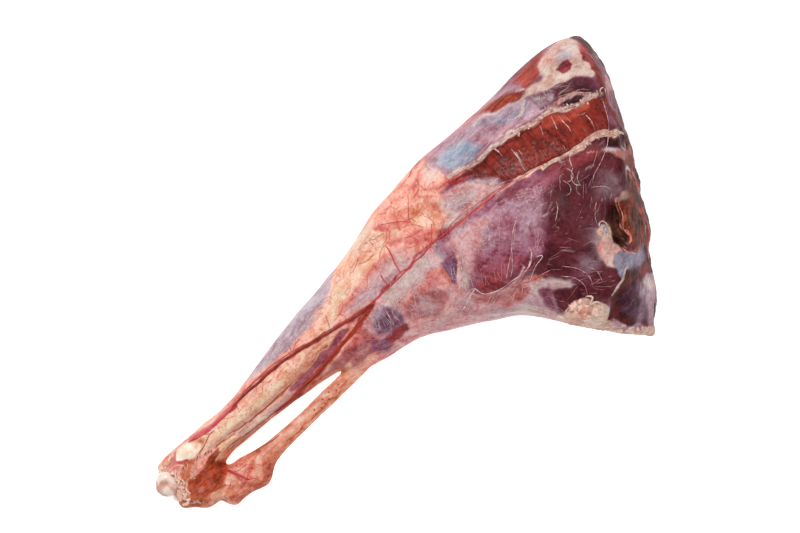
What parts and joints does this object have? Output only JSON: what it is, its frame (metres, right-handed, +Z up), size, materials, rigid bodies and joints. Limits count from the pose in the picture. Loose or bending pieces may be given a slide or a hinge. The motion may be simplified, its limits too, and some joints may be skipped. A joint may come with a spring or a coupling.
{
  "type": "raw beef leg",
  "caption": "Raw beef leg on the bone: a flared thigh with a torn cut end, a slim shank, and a heel tendon with an open hanging gap behind it.",
  "frame": {"origin": "middle of the leg's bounding box, on the surface it lies on", "axes": "+X along the leg from the hock to the cut end of the thigh, +Y to the leg's front, +Z up out of its inner side"},
  "size_m": [0.7028, 0.3384, 0.1716],
  "materials": {
    "raw_meat": "moist raw meat under thin silverskin",
    "joint_bone": "wet joint cartilage"
  },
  "bodies": {
    "root": {"leg_meat": "raw_meat", "hock_bone": "joint_bone"}
  },
  "joints": []
}
